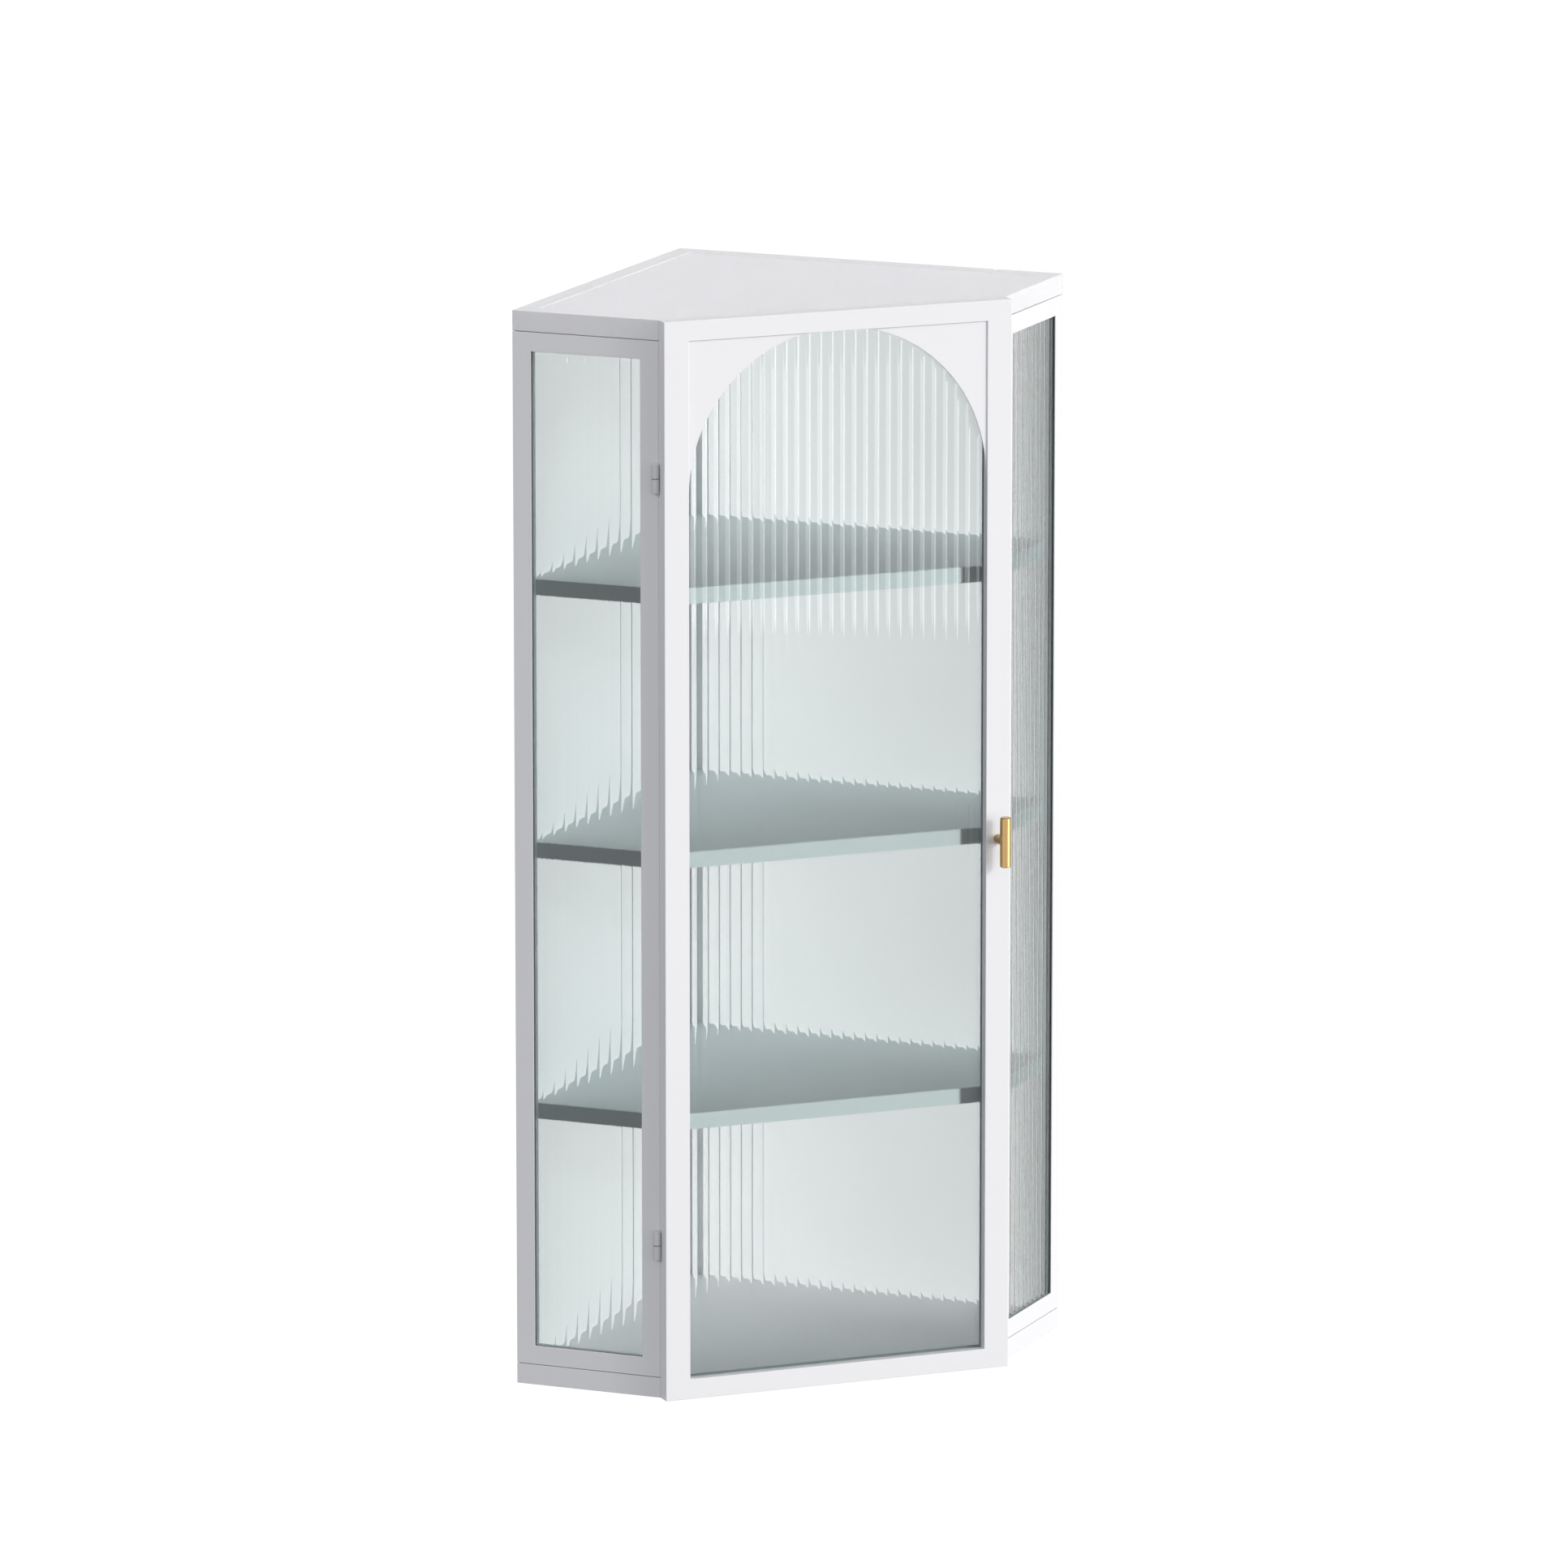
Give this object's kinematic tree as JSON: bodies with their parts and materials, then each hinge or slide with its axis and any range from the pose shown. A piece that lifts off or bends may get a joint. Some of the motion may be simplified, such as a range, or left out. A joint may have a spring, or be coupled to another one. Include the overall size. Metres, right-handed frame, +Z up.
{
  "type": "corner display cabinet",
  "caption": "Wall-hung corner display cabinet in white sheet steel, with reeded glass in its sides and in an arched full-height door, fixed shelves and a brass T-bar knob.",
  "frame": {"origin": "on the floor, under the centre of the whole cabinet's box, knob included", "axes": "+Z up; the door faces -Y and the corner of the room is at +Y; +X is to the right of someone facing the door"},
  "size_m": [0.5812, 0.439, 1.07],
  "materials": {
    "frame_white": "smooth white powder coat, satin",
    "panel_white": "smooth white powder coat, satin",
    "shelf_white": "smooth white powder coat, satin",
    "door_white": "smooth white powder coat, satin",
    "hinge_white": "white powder coat over welded barrels",
    "hinge_steel": "turned",
    "hinge_brass": "turned",
    "reeded_glass": "reeded, faintly green",
    "knob_brass": "brushed along its length",
    "screw_steel": "zinc plated",
    "catch_plastic": "moulded",
    "magnet_steel": "nickel plated",
    "bumper_rubber": "soft, translucent white"
  },
  "bodies": {
    "cabinet": {"top_frame": "frame_white", "bottom_frame": "frame_white", "top_panel": "frame_white", "left_side_frame": "frame_white", "right_side_frame": "frame_white", "left_side_beads": "frame_white", "right_side_beads": "frame_white", "corner_post": "frame_white", "floor_panel": "panel_white", "left_back_panel": "panel_white", "right_back_panel": "panel_white", "lower_shelf": "shelf_white", "middle_shelf": "shelf_white", "upper_shelf": "shelf_white", "lower_shelf_clips": "shelf_white", "middle_shelf_clips": "shelf_white", "upper_shelf_clips": "shelf_white", "lower_hinge_body_knuckle": "hinge_white", "upper_hinge_body_knuckle": "hinge_white", "lower_hinge_pin": "hinge_steel", "upper_hinge_pin": "hinge_steel", "lower_hinge_washer": "hinge_brass", "upper_hinge_washer": "hinge_brass", "left_side_glass": "reeded_glass", "right_side_glass": "reeded_glass", "top_frame_screws": "screw_steel", "bottom_frame_screws": "screw_steel", "corner_screws": "screw_steel", "left_side_screws": "screw_steel", "right_side_screws": "screw_steel", "catch_housings": "catch_plastic", "catch_magnets": "magnet_steel", "door_bumpers": "bumper_rubber"},
    "door": {"door_frame": "door_white", "left_arch_plate": "door_white", "right_arch_plate": "door_white", "door_glass": "reeded_glass", "door_glass_strips": "door_white", "lower_hinge_door_knuckle": "hinge_white", "upper_hinge_door_knuckle": "hinge_white", "knob_bar": "knob_brass", "knob_stem": "knob_brass", "knob_screw": "screw_steel"}
  },
  "joints": [
    {"name": "door_hinge", "type": "hinge", "parent": "cabinet", "child": "door", "pos_m": [-0.18618, -0.18138, 0.535], "axis": [0, 0, -1], "range_deg": [0, 150]}
  ]
}
